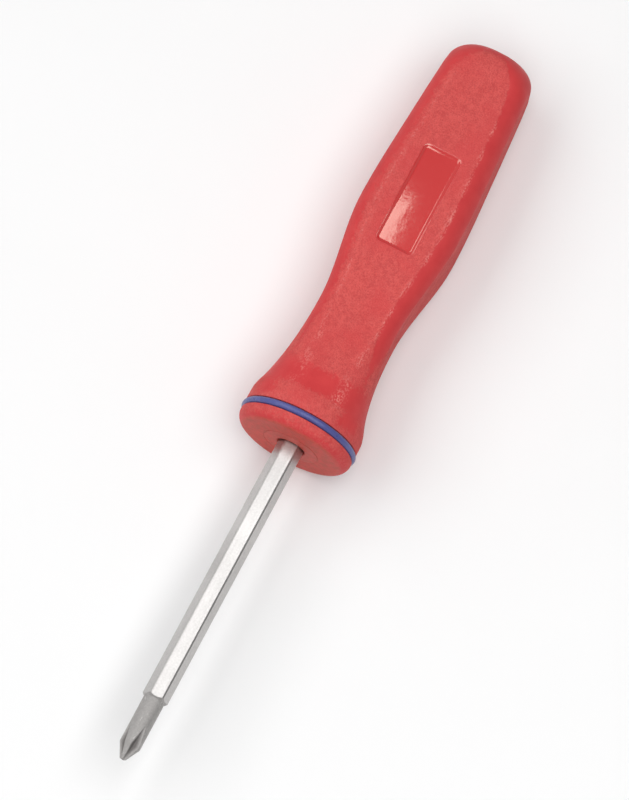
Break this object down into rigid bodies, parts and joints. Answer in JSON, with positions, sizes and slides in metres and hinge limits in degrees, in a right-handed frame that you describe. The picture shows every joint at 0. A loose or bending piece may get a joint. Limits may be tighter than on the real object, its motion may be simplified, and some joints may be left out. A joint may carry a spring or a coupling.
{
  "type": "pocket screwdriver",
  "caption": "Small screwdriver with a waisted square plastic handle, a rubber colour ring round its nose and a pull-out hexagonal blade with a cross point and a flat end.",
  "frame": {"origin": "centre of the handle's front face, on the tool's axis, where the blade leaves the handle", "axes": "+X along the tool towards the exposed cross point, +Z square to the handle's flat with the recess, +Y to the side"},
  "size_m": [0.15, 0.023, 0.023],
  "materials": {
    "grip_plastic": "red moulded plastic, grained on the flats and smooth at the corners",
    "core_plastic": "red moulded plastic, satin",
    "sleeve_steel": "bare drawn steel",
    "spring_steel": "bare spring wire",
    "ring_rubber": "blue rubber, slightly shiny",
    "blade_plating": "satin plated bar with blasted grey ends"
  },
  "bodies": {
    "handle": {"grip": "grip_plastic", "handle_core": "core_plastic", "drive_sleeve": "sleeve_steel", "stop_bush": "sleeve_steel", "retaining_ring": "spring_steel", "colour_ring": "ring_rubber"},
    "blade": {"blade": "blade_plating"}
  },
  "joints": [
    {"name": "blade_pull", "type": "slide", "parent": "handle", "child": "blade", "axis": [1, 0, 0], "range_m": [0, 0.055]}
  ]
}
